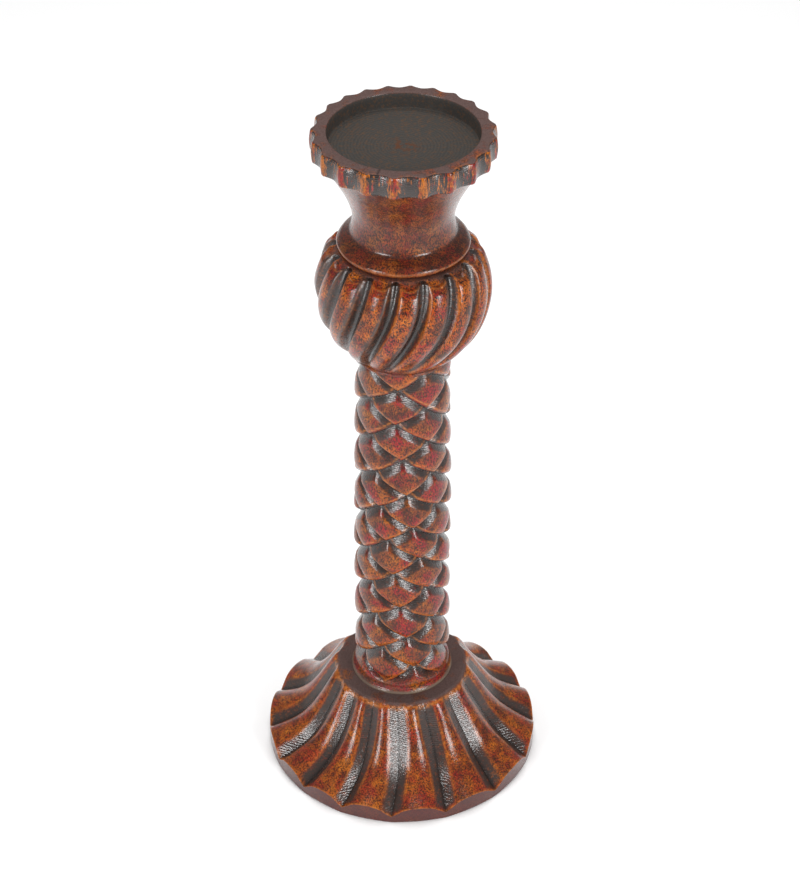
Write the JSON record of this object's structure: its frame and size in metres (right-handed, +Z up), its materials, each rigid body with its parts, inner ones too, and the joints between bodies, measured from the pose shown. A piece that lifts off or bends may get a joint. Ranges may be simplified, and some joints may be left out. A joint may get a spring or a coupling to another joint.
{
  "type": "candlestick",
  "caption": "Turned and carved wooden candlestick: lobed base, diamond-carved column, swirling gadrooned bulb and a fluted cup with a shallow recess for a pillar candle.",
  "frame": {"origin": "middle of the base's underside, on the surface it stands on", "axes": "+Z up along the turning axis, -Y towards the front"},
  "size_m": [0.117, 0.117, 0.305],
  "materials": {
    "base_lacquer": "glossy aged lacquer, orange-brown crowns and dark grooves",
    "column_lacquer": "glossy aged lacquer, orange-brown bosses and grey-black grooves",
    "bulb_lacquer": "glossy aged lacquer with worn orange edges",
    "cup_lacquer": "satin aged lacquer, black in the flutes and in the recess",
    "dowel_beech": "raw, unfinished"
  },
  "bodies": {
    "root": {"base": "base_lacquer", "column": "column_lacquer", "bulb": "bulb_lacquer", "candle_cup": "cup_lacquer", "base_dowel": "dowel_beech", "column_dowel": "dowel_beech", "cup_dowel": "dowel_beech"}
  },
  "joints": []
}
